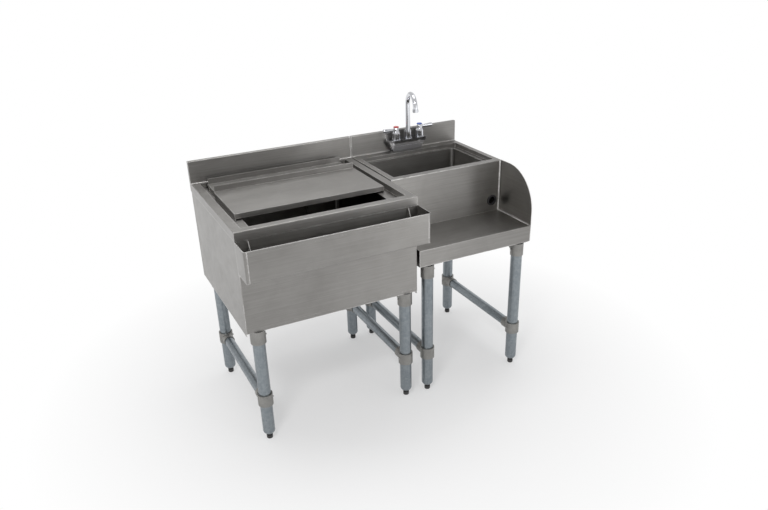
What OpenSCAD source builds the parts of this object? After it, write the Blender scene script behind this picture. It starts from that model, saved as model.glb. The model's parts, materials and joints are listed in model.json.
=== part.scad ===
// Underbar bar station: an insulated ice bin with sliding covers and a bottle rail, and beside
// it a dump sink with a splash-mounted gooseneck faucet, a front shelf and an end splash.
// Millimetres. X runs to the right, Y to the back and Z up; the front looks towards -Y.
// Each unit is drawn from its own left edge (x = 0), its backsplash face (y = 0) and the floor.

/* [Station] */
// Height of the rims above the floor
deck_z = 765; // [735:1:800]
// Rise of the backsplash above the rims
splash_h = 79; // [65:1:130]
// Depth of the box fold behind the backsplash face
splash_box = 15; // [12:1:25]
// Clear gap between the two units
unit_gap = 5; // [3:1:12]
// Thickness of the stainless sheet
sheet = 1.5; // [1:0.1:2]
// Outer radius of a fold in the sheet
fold_r = 2.5; // [2:0.5:5]
// Height of the apron flange under a rim
apron_h = 29; // [24:1:36]
// Corner radius of a recess, seen from above
recess_r = 5; // [3:0.5:10]
// Radius of the cove at the foot of a backsplash
splash_cove_r = 4; // [3:0.5:8]

/* [Ice bin] */
// Width of the ice bin
bin_w = 610; // [560:1:760]
// Depth from the backsplash face to the front apron
bin_d = 516; // [490:1:560]
// Height of the front panel's lower edge above the floor
body_z = 423; // [400:1:440]
// How far the side panels hang below that edge
side_skirt = 10; // [0:1:14]
// Width of the rim at each side
bin_rim = 29; // [22:1:36]
// Width of the front rim
bin_front_rim = 27; // [22:1:40]
// Width of the strip between the backsplash and the recess
bin_back_rim = 12; // [8:1:20]
// Depth of the recess that the covers lie in
bin_drop = 21; // [18:1:26]
// Width of the ledge at each side that carries the covers
bin_ledge = 40; // [30:1:50]
// Width of the ledge at the front and the back
bin_end_ledge = 25; // [15:1:35]
// Height of the tub's floor above the floor
tub_floor_z = 450; // [440:1:520]
// Corner radius of the tub
tub_r = 12; // [8:1:20]
// Thickness of the insulation round the tub
foam_t = 38; // [20:1:42]

/* [Covers] */
// Width of the front cover
cover_w = 517; // [505:1:530]
// Depth of each cover
cover_d = 244; // [230:1:250]
// Height of the upturned handle on a cover's rear edge
handle_h = 20; // [14:1:24]
// Height of the front cover above the rims
cover_proud = 1; // [0:0.5:3]
// Distance from the backsplash face to the rear cover's handle
rear_cover_y = 20; // [16:1:24]
// Distance from the backsplash face to the front cover's lip
front_lip_y = 370; // [362:1:380]
// Height of the front cover's lip
lip_h = 16.5; // [12:0.5:19]
// Running clearance between the two covers
cover_gap = 3.5; // [1:0.1:4]
// How much narrower the rear cover is at each side
cover_step = 6; // [4:0.5:8]

/* [Divider] */
// Distance from the bin's left edge to the divider
divider_x = 401; // [300:1:440]
// Thickness of the hemmed divider plate
divider_t = 3; // [2:0.2:4]
// Distance from the backsplash face to the divider's upper front edge
divider_edge_y = 334; // [300:1:400]
// Height of the step in the divider's front edge above the floor
divider_step_z = 660; // [600:1:690]
// Width of the channels that hold the divider
channel_w = 12; // [9:0.5:16]
// Depth of those channels
channel_d = 14; // [10:1:20]
// Distance from the divider's top edge to the underside of the ledge
divider_drop = 7; // [4:1:14]

/* [Bottle rail] */
// Length of the rail
rail_l = 613; // [540:1:640]
// Distance from the bin's left edge to the rail's left end
rail_x = 0; // [0:1:8]
// Depth of the rail from front to back
rail_d = 88; // [80:1:110]
// Height of the rail
rail_h = 103; // [80:1:125]
// Distance from each end of the rail to its inside rib
rib_inset = 38; // [30:1:90]
// Corner radius of the rail's front, seen from above
rail_corner_r = 9; // [6:0.5:14]
// Distance from the rail's top edge to its bolts
rail_bolt_drop = 55; // [20:1:75]
// Depth of the hem along the rail's front edge
rail_hem = 10; // [6:1:14]

/* [Sink] */
// Width of the sink unit
sink_w = 457; // [430:1:560]
// Depth from the backsplash face to the riser
sink_d = 323; // [310:1:350]
// Height of the shelf above the floor
shelf_z = 572; // [560:1:585]
// Depth of the shelf in front of the riser
shelf_d = 198; // [175:1:215]
// Height of the skirt under the shelf
skirt_h = 60; // [50:1:70]
// Depth of the recess round the bowl
sink_drop = 15; // [12:1:24]
// Width of the sink's side rims
sink_rim = 20; // [15:1:26]
// Width of the sink's front rim
sink_front_rim = 22; // [18:1:36]
// Width of the strip between the backsplash and the bowl's recess
sink_back_rim = 38; // [30:1:46]
// Width of the ledge round the bowl
sink_ledge = 19; // [14:1:24]
// Height of the bowl's floor above the floor
bowl_floor_z = 541; // [538:1:560]
// Corner radius of the bowl
bowl_r = 14; // [10:1:20]
// Radius of the end splash's rounded corner
end_splash_r = 146; // [100:1:165]
// Radius of the weld coves beside the end splash
cove_r = 7; // [4:0.5:10]

/* [Cord hole] */
// Distance from the sink's right edge to the cord hole
cord_x = 35; // [30:1:60]
// Height of the cord hole above the shelf
cord_z = 42; // [32:1:80]
// Radius of the grommet's opening
cord_r = 14; // [10:0.5:17]
// Radius of the grommet's flange
grommet_r = 20; // [19.5:0.5:24]

/* [Drains] */
// Radius of the bin drain's threaded body
bin_drain_r = 17; // [13:0.5:20]
// Distance from the bin's left edge to its drain
bin_drain_x = 230; // [160:1:300]
// Distance from the backsplash face to the bin's drain
bin_drain_y = 245; // [150:1:330]
// Radius of the basket strainer's cup
strainer_r = 43; // [38:0.5:46]
// Depth of the basket strainer's cup
strainer_depth = 50; // [40:1:60]
// Radius of the sink's tailpiece
tail_r = 19.05; // [16:0.05:20]
// Free length of the sink's tailpiece
tail_l = 70; // [40:1:110]

/* [Legs] */
// Outer radius of a leg tube
leg_r = 20.65; // [18:0.05:22]
// Wall of the leg and cross-rail tubes
tube_t = 1.5; // [1.2:0.1:3]
// Distance from a unit's side to its leg centres
leg_inset = 41; // [40:1:52]
// Distance from the bin's apron to its front leg centres
bin_leg_front = 20; // [18:1:45]
// Distance from the shelf's front to the sink's front leg centres
sink_leg_front = 20; // [18:1:45]
// Distance from the backsplash face to the rear leg centres
leg_back = 28; // [24:1:60]
// Outer radius of the leg sockets and the rail clamps
socket_r = 25.4; // [24.5:0.1:28]
// Outer radius of the sockets under the sink
sink_socket_r = 23.6; // [23.2:0.1:28]
// Length of a leg socket
socket_l = 47; // [36:1:60]
// Side of the triangular gusset plate
gusset_l = 84; // [72:1:90]
// Thickness of the gusset plate
gusset_t = 3; // [3:0.5:6]
// Height of the leg's lower end above the floor
leg_end_z = 20; // [18:1:26]
// Radius of the bullet foot
foot_r = 10.5; // [10:0.5:14]
// Height of the bullet foot's head
foot_h = 13; // [10:0.5:13.5]
// Radius of the foot's threaded stem
stem_r = 7.9; // [6:0.1:8.5]

/* [Cross rails] */
// Height of the cross rails above the floor
cross_z = 160; // [110:1:240]
// Outer radius of the cross rails
cross_r = 17.45; // [12:0.05:18.5]
// Height of a clamp
clamp_h = 42; // [40:1:52]
// Reach of the clamp's branch from the leg centre
clamp_reach = 46; // [40:1:60]

/* [Faucet] */
// Distance between the two valve centres
valve_spread = 101.6; // [95:0.1:110]
// Distance from the backsplash face to the valve centres
valve_y = 26; // [24:1:34]
// Height of the faucet body's top above the rims
body_top = 48; // [42:1:52]
// Thickness of the faucet body's top band
body_band = 9; // [6:1:14]
// Half width of the body's top
body_half_w = 82; // [74:1:90]
// Half width of the body's lower edge
body_low_half_w = 60; // [50:1:70]
// Depth of the body in front of the wall
body_d = 44; // [43:1:54]
// Depth of the body's lower edge
body_low_d = 20; // [12:1:30]
// Height of the inlet shanks above the rims
shank_z = 27; // [24:1:30]
// Radius of the inlet shanks
shank_r = 10.4; // [9:0.1:11]
// Length of the inlet shanks behind the backsplash face
shank_l = 36; // [32:1:44]
// Radius of a bonnet
bonnet_r = 15; // [13:0.5:16]
// Height of a bonnet
bonnet_h = 15; // [12:1:20]
// Height of a handle's hub
hub_h = 31.5; // [30:0.5:38]
// Reach of a lever from its valve centre
lever_l = 56; // [50:1:75]
// Radius of a lever at its outer end
lever_r = 8; // [7:0.1:10]
// Radius of the spout tube
spout_r = 9; // [7.5:0.1:10]
// Reach of the gooseneck from its riser to its outlet
spout_reach = 89; // [75:1:110]
// Height of the gooseneck's crown above the rims
spout_top = 230; // [190:1:260]
// Straight drop of the gooseneck above the aerator
spout_drop = 2; // [1:1:25]
// Swing of the gooseneck to the left of straight ahead, in degrees
spout_swing = 10; // [-45:1:45]

/* [Hidden] */
$fn = 48;

steel = [0.66, 0.65, 0.63];
dark_steel = [0.55, 0.54, 0.53];
chrome = [0.8, 0.81, 0.84];
galvanised = [0.55, 0.59, 0.64];
cast_grey = [0.62, 0.6, 0.57];
black = [0.12, 0.12, 0.13];
foam = [0.86, 0.8, 0.6];
hot_red = [0.72, 0.12, 0.12];
cold_blue = [0.12, 0.25, 0.6];

// Clearance of a piece that slides on or in another
seat_gap = 0.3;
// Radial clearance of tubes and shanks in their holes
fit_gap = 0.2;
// Overshoot of a cut past the face that it opens
cut = 1;

// Station
total_w = bin_w + unit_gap + sink_w;
sink_x = bin_w + unit_gap;
rail_front_y = bin_d + rail_d - sheet;
mid_y = (rail_front_y - shank_l) / 2;
splash_top_z = deck_z + splash_h;
apron_z = deck_z - apron_h;
panel_top_z = deck_z - fold_r - 0.5;

// Ice bin: boxes are [x0, x1, y0, y1], with y counted to the front as a positive distance
bin_recess = [bin_rim, bin_w - bin_rim, bin_back_rim, bin_d - bin_front_rim];
bin_mouth = [
    bin_recess[0] + bin_ledge, bin_recess[1] - bin_ledge,
    bin_recess[2] + bin_end_ledge, bin_recess[3] - bin_end_ledge
];
cabinet_box = [sheet, bin_w - sheet, -splash_box, bin_d - sheet];
bin_ledge_z = deck_z - bin_drop;
bin_ledge_under_z = bin_ledge_z - sheet;
cover_top_z = deck_z + cover_proud;
cover_low_z = bin_ledge_z + seat_gap;
cover_x = (bin_w - cover_w) / 2;
cover_fold_r = 2;
cover_relief = 10;
lap_step = sheet + cover_gap;
divider_top_z = bin_ledge_under_z - divider_drop;
divider_fillet = 14;
slot_w = divider_t + 2 * seat_gap;

// Bottle rail
rail_top_z = apron_z - 1;
rail_z = rail_top_z - rail_h;
rail_back_y = bin_d - sheet;
rail_bolt_z = rail_top_z - rail_bolt_drop;
rail_bolt_r = 3;
rail_bolt_xs = [rail_x + rail_l / 5, rail_x + 2 * rail_l / 5, rail_x + 3 * rail_l / 5,
                rail_x + 4 * rail_l / 5];
rail_fold_r = 5;
rib_t = 2;
rib_h = 62;
rib_d = 40;

// Sink
sink_recess = [sink_rim, sink_w - sink_rim, sink_back_rim, sink_d - sink_front_rim];
sink_mouth = [
    sink_recess[0] + sink_ledge, sink_recess[1] - sink_ledge,
    sink_recess[2] + sink_ledge / 2, sink_recess[3] - sink_ledge / 2
];
sink_ledge_z = deck_z - sink_drop;
sink_ledge_under_z = sink_ledge_z - sheet;
riser_top_z = deck_z - fold_r;
shelf_front_y = sink_d + shelf_d;
skirt_z = shelf_z - skirt_h;
side_flange_w = 78;
hem_w = 12;
cord_pos_x = sink_w - cord_x;
cord_pos_z = shelf_z + cord_z;
grommet_neck_r = cord_r + 3;
sink_drain_x = (sink_mouth[0] + sink_mouth[1]) / 2;
sink_drain_y = (sink_mouth[2] + sink_mouth[3]) / 2;
strainer_t = 2;
strainer_floor_z = bowl_floor_z - strainer_depth;
spigot_l = 24;
tail_top_z = strainer_floor_z - spigot_l;

// Bottom pan of the bin, which hides the channels and gussets under it
hat_h = 8;
pan_z = body_z + hat_h + gusset_t;

// Bin drain
bin_drain_end_z = pan_z - 40;
drain_flange_r = 2 * bin_drain_r + 4;
drain_flange_t = 3;

// Legs
bin_leg_ys = [bin_d - bin_leg_front, leg_back];
sink_leg_ys = [shelf_front_y - sink_leg_front, leg_back];
bin_leg_xs = [leg_inset, bin_w - leg_inset];
sink_leg_xs = [leg_inset, sink_w - leg_inset];
bin_gusset_z = pan_z - hat_h;
sink_gusset_z = skirt_z;
gusset_corner = 16;
shoulder_r = 14;
socket_bore = leg_r + fit_gap;
stem_bore = stem_r + fit_gap;
screw_r = 3;
foot_edge = 2.5;

// Faucet
faucet_x = sink_w / 2;
body_top_z = deck_z + body_top;
shank_pos_z = deck_z + shank_z;
hub_z = body_top_z + bonnet_h + seat_gap;
hub_top_z = hub_z + hub_h;
index_t = 3;
lever_z = hub_z + hub_h - 8.5;
lever_end = 5;
arch_r = spout_reach / 2;
arch_z = deck_z + spout_top - spout_r - arch_r;
aerator_r = spout_r + 3;
aerator_h = 10;
spout_nut_h = 31;
spout_tip_z = arch_z - spout_drop;

// Union bolts
union_ys = [60, 270];
union_z = 600;
union_r = 4;

// ---- Helpers ----

// Moves a unit's own frame into the part's frame
module place(x = 0) {
    translate([x - total_w / 2, mid_y, 0])
        children();
}

// A rectangle with true round corners; b is [x0, x1, y0, y1] with y towards the front
module outline(b, r, grow = 0) {
    x0 = b[0] - grow;
    x1 = b[1] + grow;
    y0 = -b[3] - grow;
    y1 = -b[2] + grow;
    rr = r + grow;
    translate([x0 + rr, y0])
        square([x1 - x0 - 2 * rr, y1 - y0]);
    translate([x0, y0 + rr])
        square([x1 - x0, y1 - y0 - 2 * rr]);
    for (x = [x0 + rr, x1 - rr])
        for (y = [y0 + rr, y1 - rr])
            translate([x, y])
                circle(rr);
}

// Profile with the two given top corners rounded, from (0, 0) to (w, h)
module crown(w, h, r, left = true, right = true) {
    difference() {
        square([w, h]);
        if (left)
            translate([0, h - r])
                difference() {
                    translate([-cut, 0])
                        square([r + cut, r + cut]);
                    translate([r, 0])
                        circle(r);
                }
        if (right)
            translate([w - r, h - r])
                difference() {
                    square([r + cut, r + cut]);
                    circle(r);
                }
    }
}

// Extrudes a YZ profile (drawn as [y, z]) along X, from x0 to x1
module along_x(x0, x1) {
    translate([x0, 0, 0])
        rotate([90, 0, 90])
            linear_extrude(x1 - x0)
                children();
}

// Extrudes an XZ profile (drawn as [x, z]) along Y, from y0 to y1
module along_y(y0, y1) {
    translate([0, y1, 0])
        rotate([90, 0, 0])
            linear_extrude(y1 - y0)
                children();
}

// Block whose top edges are rounded at the front and, where asked, at the sides
module capped_block(b, z0, z1, r, left = true, right = true) {
    intersection() {
        along_y(-b[3] - cut, -b[2])
            translate([b[0], z0])
                crown(b[1] - b[0], z1 - z0, r, left, right);
        along_x(b[0] - cut, b[1] + cut)
            translate([-b[3], z0])
                crown(b[3] - b[2], z1 - z0, r, true, false);
    }
}

// The same block as a folded sheet, open below, behind and at a side without a fold
module capped_shell(b, z0, z1, left = true, right = true) {
    x0 = left ? b[0] + sheet : b[0] - cut;
    x1 = right ? b[1] - sheet : b[1] + cut;
    difference() {
        capped_block(b, z0, z1, fold_r, left, right);
        capped_block([x0, x1, b[2] - cut, b[3] - sheet],
            z0 - cut, z1 - sheet, fold_r - sheet, left, right);
    }
}

// Box with rounded vertical corners and a rounded bottom, its mouth at z1
module tub_block(b, z0, z1, r) {
    h = z1 - z0;
    intersection() {
        translate([0, 0, z0])
            linear_extrude(h)
                outline(b, r);
        along_y(-b[3] - cut, -b[2] + cut)
            translate([b[0], z1])
                mirror([0, 1])
                    crown(b[1] - b[0], h, r);
        along_x(b[0] - cut, b[1] + cut)
            translate([-b[3], z1])
                mirror([0, 1])
                    crown(b[3] - b[2], h, r);
    }
}

module tub(b, floor_z, top_z, r) {
    difference() {
        tub_block([b[0] - sheet, b[1] + sheet, b[2] - sheet, b[3] + sheet],
            floor_z - sheet, top_z, r + sheet);
        tub_block(b, floor_z, top_z + cut, r);
    }
}

// Rims and aprons of a unit, folded from one sheet, with the sunk ledge round the mouth
module unit_deck(w, d, recess, drop, mouth, mouth_r) {
    floor_z = deck_z - drop;
    difference() {
        union() {
            capped_shell([0, w, -sheet, d], apron_z, deck_z);
            for (x = [0, w - sheet])
                translate([x, 0, apron_z])
                    cube([sheet, splash_box, apron_h]);
        }
        translate([0, 0, floor_z])
            linear_extrude(drop + cut)
                outline(recess, recess_r);
    }
    difference() {
        translate([0, 0, floor_z - sheet])
            linear_extrude(drop + sheet / 2)
                outline(recess, recess_r, sheet);
        translate([0, 0, floor_z])
            linear_extrude(drop + cut)
                outline(recess, recess_r);
        translate([0, 0, floor_z - sheet - cut])
            linear_extrude(sheet + 2 * cut)
                outline(mouth, mouth_r);
    }
}

// Backsplash that stands on the rear rim: cove, face, top fold, back drop and closed ends
module unit_splash(w) {
    cove_depth = 0.8 * splash_cove_r;
    along_x(0, w) {
        translate([0, deck_z])
            square([sheet, splash_h - fold_r]);
        difference() {
            translate([0, splash_top_z - splash_box])
                crown(splash_box, splash_box, fold_r);
            translate([sheet, splash_top_z - splash_box - cut])
                crown(splash_box - 2 * sheet, splash_box + cut - sheet, fold_r - sheet);
        }
        translate([-cove_depth, deck_z])
            difference() {
                square([cove_depth + sheet / 2, splash_cove_r]);
                translate([cove_depth - splash_cove_r, splash_cove_r])
                    circle(splash_cove_r);
            }
    }
    for (x = [0, w - sheet])
        translate([x, 0, deck_z])
            cube([sheet, splash_box, splash_h - fold_r]);
}

// ---- Ice bin ----

module bin_cabinet() {
    color(steel) place() difference() {
        union() {
            translate([0, 0, body_z])
                linear_extrude(panel_top_z - body_z)
                    outline(cabinet_box, fold_r);
            for (x = [cabinet_box[0], cabinet_box[1] - sheet])
                translate([x, -cabinet_box[3] + fold_r, body_z - side_skirt])
                    cube([sheet, cabinet_box[3] - cabinet_box[2] - 2 * fold_r, side_skirt + cut]);
        }
        translate([0, 0, pan_z + sheet])
            linear_extrude(panel_top_z - pan_z)
                outline(cabinet_box, fold_r, -sheet);
        translate([0, 0, body_z - cut])
            linear_extrude(pan_z - body_z + cut)
                outline(cabinet_box, fold_r, -sheet);
        bin_drain_hole();
        rail_bolt_holes();
        union_holes();
    }
}

module bin_insulation() {
    color(foam) place() difference() {
        translate([0, 0, pan_z + sheet])
            linear_extrude(bin_ledge_under_z - pan_z - sheet)
                outline(bin_mouth, tub_r, sheet + foam_t);
        tub_block([bin_mouth[0] - sheet, bin_mouth[1] + sheet, bin_mouth[2] - sheet,
            bin_mouth[3] + sheet], tub_floor_z - sheet, bin_ledge_z, tub_r + sheet);
        bin_drain_hole();
    }
}

module bin_liner() {
    color(steel) place() difference() {
        tub(bin_mouth, tub_floor_z, bin_ledge_under_z, tub_r);
        bin_drain_hole();
    }
}

module bin_top() {
    color(steel) place()
        unit_deck(bin_w, bin_d, bin_recess, bin_drop, bin_mouth, tub_r);
}

module bin_backsplash() {
    color(steel) place()
        unit_splash(bin_w);
}

// A cover: a sheet with side flanges on the ledge, relieved at the upturned handle at y_back
module cover(y_back, top_z, narrow) {
    x0 = cover_x + narrow;
    w = cover_w - 2 * narrow;
    h = top_z - cover_low_z;
    difference() {
        along_y(-y_back - cover_d, -y_back)
            translate([x0, cover_low_z])
                crown(w, h, cover_fold_r);
        along_y(-y_back - cover_d - cut, -y_back + cut)
            translate([x0 + sheet, cover_low_z - cut])
                crown(w - 2 * sheet, h + cut - sheet, cover_fold_r - sheet);
        translate([x0 - cut, -y_back - cover_relief, cover_low_z - cut])
            cube([w + 2 * cut, cover_relief + cut, h + cut - sheet]);
    }
    translate([x0 + 2 * sheet, -y_back - sheet, top_z - sheet])
        cube([w - 4 * sheet, sheet, handle_h + sheet]);
}

module bin_cover_front() {
    color(steel) place() {
        cover(front_lip_y - cover_d, cover_top_z, 0);
        translate([cover_x + sheet / 2, -front_lip_y, cover_top_z - lip_h])
            cube([cover_w - sheet, sheet, lip_h - sheet / 2]);
    }
}

module bin_cover_rear() {
    color(steel) place()
        cover(rear_cover_y, cover_top_z - lap_step, cover_step);
}

module bin_divider() {
    y0 = -bin_mouth[3] + sheet + seat_gap;
    y1 = -bin_mouth[2] - sheet - seat_gap;
    z0 = tub_floor_z + seat_gap;
    step_h = divider_top_z - divider_step_z;
    color(steel) place()
        along_x(divider_x - divider_t / 2, divider_x + divider_t / 2)
            difference() {
                translate([y0, z0])
                    square([y1 - y0, divider_top_z - z0]);
                translate([y0 - cut, divider_top_z + cut])
                    mirror([0, 1])
                        crown(cut - divider_edge_y - y0, step_h + cut, divider_fillet, false);
                for (y = [y0, y1])
                    translate([y, z0])
                        circle(tub_r);
                for (i = [1, 2])
                    translate([y0 + i * (y1 - y0) / 3, z0])
                        circle(tub_r);
            }
}

module bin_divider_channels() {
    z0 = tub_floor_z + 1.5 * tub_r;
    color(dark_steel) place()
        for (end = [0, 1])
            divider_channel(end, z0, end == 0 ? divider_step_z - 2 * sheet : divider_top_z);
}

// Channel on the liner's front wall (end = 0) or rear wall (end = 1), from z0 to z1
module divider_channel(end, z0, z1) {
    translate([divider_x, end == 0 ? -bin_mouth[3] : -bin_mouth[2], z0])
        mirror([0, end, 0])
            difference() {
                translate([-channel_w / 2, 0, 0])
                    cube([channel_w, channel_d, z1 - z0]);
                translate([-slot_w / 2, sheet, -cut])
                    cube([slot_w, channel_d, z1 - z0 + 2 * cut]);
            }
}

module bin_drain_hole() {
    translate([bin_drain_x, -bin_drain_y, 0])
        cylinder(h = tub_floor_z + drain_flange_t, r = bin_drain_r + fit_gap);
}

module bin_drain_body() {
    bore = bin_drain_r - 4;
    thread_z = pan_z - 12;
    color(dark_steel) place()
        translate([bin_drain_x, -bin_drain_y, 0])
            rotate_extrude()
                difference() {
                    union() {
                        translate([0, tub_floor_z])
                            square([drain_flange_r, drain_flange_t]);
                        translate([0, thread_z])
                            square([bin_drain_r, tub_floor_z + 1 - thread_z]);
                        translate([0, bin_drain_end_z])
                            square([bin_drain_r - 0.5, thread_z + 1 - bin_drain_end_z]);
                    }
                    translate([-cut, bin_drain_end_z - cut])
                        square([bore + cut, tub_floor_z - bin_drain_end_z + 2 * drain_flange_t]);
                }
}

module bin_drain_nut() {
    color(dark_steel) place()
        translate([bin_drain_x, -bin_drain_y, pan_z - 9])
            difference() {
                cylinder(h = 9, r = bin_drain_r + 8, $fn = 6);
                translate([0, 0, -cut])
                    cylinder(h = 9 + 2 * cut, r = bin_drain_r + fit_gap);
            }
}

module bin_drain_strainer() {
    plate_r = drain_flange_r - 4;
    color(steel) place()
        translate([bin_drain_x, -bin_drain_y, tub_floor_z + drain_flange_t])
            difference() {
                cylinder(h = sheet, r = plate_r);
                for (ring = [1, 2])
                    for (i = [0:6 * ring - 1])
                        rotate([0, 0, i * 60 / ring])
                            translate([ring * bin_drain_r / 3, 0, -cut])
                                cylinder(h = sheet + 2 * cut, r = 1.8);
            }
}

// ---- Bottle rail ----

module rail_bolt_holes() {
    for (x = rail_bolt_xs)
        translate([x, -bin_d - sheet - cut, rail_bolt_z])
            rotate([-90, 0, 0])
                cylinder(h = 4 * sheet + 2 * cut, r = rail_bolt_r + fit_gap);
}

// Trough with a folded front edge and round front corners, set in by the given amount
module rail_block(set_in, z_top, y_back) {
    y_front = -rail_back_y - rail_d + set_in;
    w = rail_l - 2 * set_in;
    d = y_back - y_front;
    h = z_top - rail_z - set_in;
    intersection() {
        along_x(rail_x + set_in, rail_x + set_in + w)
            translate([y_front, z_top])
                mirror([0, 1])
                    crown(d, h, rail_fold_r - set_in, true, false);
        translate([rail_x + set_in, y_back, rail_z])
            linear_extrude(z_top - rail_z)
                mirror([0, 1])
                    crown(w, d, rail_corner_r - set_in);
    }
}

// The trough's sheet from x0 to x1 and from y0 to y1
module rail_sheet(x0, x1, y0, y1) {
    y_back = -rail_back_y - sheet;
    intersection() {
        difference() {
            rail_block(0, rail_top_z, y_back);
            rail_block(sheet, rail_top_z + cut, y_back + cut);
        }
        translate([x0, y0, rail_z - cut])
            cube([x1 - x0, y1 - y0, rail_h + 2 * cut]);
    }
}

// Front panel with its hem, and back panel with two ribs
module bottle_rail() {
    y0 = -rail_back_y - rail_d;
    y1 = -rail_back_y;
    x0 = rail_x + rail_corner_r;
    x1 = rail_x + rail_l - rail_corner_r;
    color(steel) place() {
        rail_sheet(x0, x1, y0 - cut, y0 + rail_fold_r);
        translate([x0, y0 + sheet / 2, rail_top_z - rail_hem])
            cube([x1 - x0, 1.5 * sheet, rail_hem]);
        difference() {
            translate([rail_x, y1 - sheet, rail_z])
                cube([rail_l, sheet, rail_h]);
            rail_bolt_holes();
        }
        for (x = [rail_x + rib_inset, rail_x + rail_l - rib_inset - rib_t])
            along_x(x, x + rib_t)
                polygon([
                    [y1 - sheet / 2, rail_top_z - 2],
                    [y1 - sheet / 2, rail_top_z - rib_h],
                    [y1 - rib_d, rail_top_z - rib_h],
                    [y1 - sheet - 5, rail_top_z - 2]
                ]);
    }
}

module bottle_rail_floor() {
    color(steel) place()
        rail_sheet(rail_x + rail_corner_r, rail_x + rail_l - rail_corner_r,
            rail_fold_r - rail_back_y - rail_d, -rail_back_y);
}

// The two ends, each with its round front corner
module bottle_rail_ends() {
    y0 = -rail_back_y - rail_d - cut;
    color(steel) place() {
        rail_sheet(rail_x - cut, rail_x + rail_corner_r, y0, -rail_back_y);
        rail_sheet(rail_x + rail_l - rail_corner_r, rail_x + rail_l + cut, y0, -rail_back_y);
    }
}

module rail_bolts() {
    for (x = rail_bolt_xs)
        translate([x, -rail_back_y, rail_bolt_z])
            rotate([90, 0, 0]) {
                translate([0, 0, sheet])
                    cylinder(h = 4, r = 2 * rail_bolt_r, $fn = 6);
                translate([0, 0, -sheet - 9])
                    cylinder(h = 2 * sheet + 10, r = rail_bolt_r);
                translate([0, 0, -sheet - 5])
                    cylinder(h = 5, r = 2 * rail_bolt_r, $fn = 6);
            }
}

// ---- Legs ----

// Shallow hat section under the pan or the side flanges, along Y
module hat_channel(x, z_top, y0, y1, h) {
    half = 24;
    along_y(y0, y1)
        translate([x, z_top - h]) {
            translate([-half, 0])
                square([2 * half, 2]);
            for (side = [-1, 1]) {
                translate([side * half - 1, 0])
                    square([2, h]);
                translate([side * (half + 6) - 7, h - 2])
                    square([14, 2]);
            }
        }
}

module leg_channels() {
    color(cast_grey) {
        place()
            for (x = bin_leg_xs)
                hat_channel(x, pan_z, -bin_d + 2 * sheet, splash_box - sheet, hat_h);
        place(sink_x)
            for (x = sink_leg_xs)
                translate([0, 0, 2 * (skirt_z + sheet) + 3 * hat_h])
                    mirror([0, 0, 1])
                        hat_channel(x, skirt_z + sheet + 3 * hat_h,
                            -shelf_front_y + sheet + hem_w, splash_box - sheet, 3 * hat_h);
    }
}

// Gusset plate with its socket of radius r, hanging from z; sx and sy point to the unit's corner
module leg_socket(z, sx, sy, r) {
    corner = [sx * (gusset_corner + 18), sy * gusset_corner];
    translate([0, 0, z - gusset_t])
        linear_extrude(gusset_t)
            polygon([
                [corner[0], corner[1]],
                [corner[0] - sx * gusset_l, corner[1]],
                [corner[0] - sx * gusset_l, corner[1] - sy * 8],
                [corner[0] - sx * 8, corner[1] - sy * gusset_l],
                [corner[0], corner[1] - sy * gusset_l]
            ]);
    difference() {
        union() {
            translate([0, 0, z - gusset_t - socket_l]) {
                cylinder(h = socket_l, r = r);
                cylinder(h = socket_l + 1, r = gusset_corner - 1);
            }
            rotate([0, 0, atan2(-sy, -sx)])
                rotate([90, 0, 0])
                    translate([0, z - gusset_t, -2])
                        linear_extrude(4)
                            polygon([
                                [r - 2, 0.5], [r + 14, 0.5],
                                [r + 13, -4], [r - 2, -socket_l * 0.7]
                            ]);
        }
        translate([0, 0, z - gusset_t - socket_l - cut])
            cylinder(h = socket_l + cut, r = socket_bore);
        translate([0, 0, z - gusset_t - socket_l / 2])
            rotate([0, -90 * sx, 0])
                cylinder(h = r + cut, r = screw_r + fit_gap);
    }
}

module leg_sockets() {
    color(cast_grey) {
        place()
            for (x = bin_leg_xs)
                for (y = bin_leg_ys)
                    translate([x, -y, 0])
                        leg_socket(bin_gusset_z, x < bin_w / 2 ? -1 : 1,
                            y > bin_d / 2 ? -1 : 1, socket_r);
        place(sink_x)
            for (x = sink_leg_xs)
                for (y = sink_leg_ys)
                    translate([x, -y, 0])
                        leg_socket(sink_gusset_z, x < sink_w / 2 ? -1 : 1,
                            y > sink_d / 2 ? -1 : 1, sink_socket_r);
    }
}

// Tube with a crimped round shoulder at its lower end, where the foot's stem enters
module leg(x, y, top_z) {
    translate([x, -y, 0])
        rotate_extrude()
            difference() {
                union() {
                    translate([0, leg_end_z + shoulder_r])
                        square([leg_r, top_z - leg_end_z - shoulder_r]);
                    translate([0, leg_end_z])
                        square([leg_r - shoulder_r, shoulder_r + 1]);
                    intersection() {
                        translate([leg_r - shoulder_r, leg_end_z + shoulder_r])
                            circle(shoulder_r);
                        translate([0, leg_end_z])
                            square([leg_r, shoulder_r + 1]);
                    }
                    translate([0, leg_end_z])
                        square([stem_bore + 3, 6]);
                }
                translate([-cut, leg_end_z + 6])
                    square([leg_r - 2 * shoulder_r / 3 + cut, shoulder_r]);
                translate([-cut, leg_end_z + shoulder_r])
                    square([leg_r - tube_t + cut, top_z]);
                translate([-cut, leg_end_z - cut])
                    square([stem_bore + cut, 10]);
            }
}

module bullet_foot(x, y) {
    translate([x, -y, 0])
        rotate_extrude()
            union() {
                translate([0, foot_edge])
                    square([foot_r, foot_h - foot_edge]);
                square([foot_r - foot_edge, foot_edge + 1]);
                intersection() {
                    translate([foot_r - foot_edge, foot_edge])
                        circle(foot_edge);
                    square([foot_r, foot_edge + 1]);
                }
                translate([0, foot_h - 1])
                    square([stem_r, 58]);
            }
}

module bin_leg(x, y) {
    color(galvanised) place()
        leg(x, y, bin_gusset_z - gusset_t);
}

module sink_leg(x, y) {
    color(galvanised) place(sink_x)
        leg(x, y, sink_gusset_z - gusset_t);
}

module bin_foot(x, y) {
    color(black) place()
        bullet_foot(x, y);
}

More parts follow.
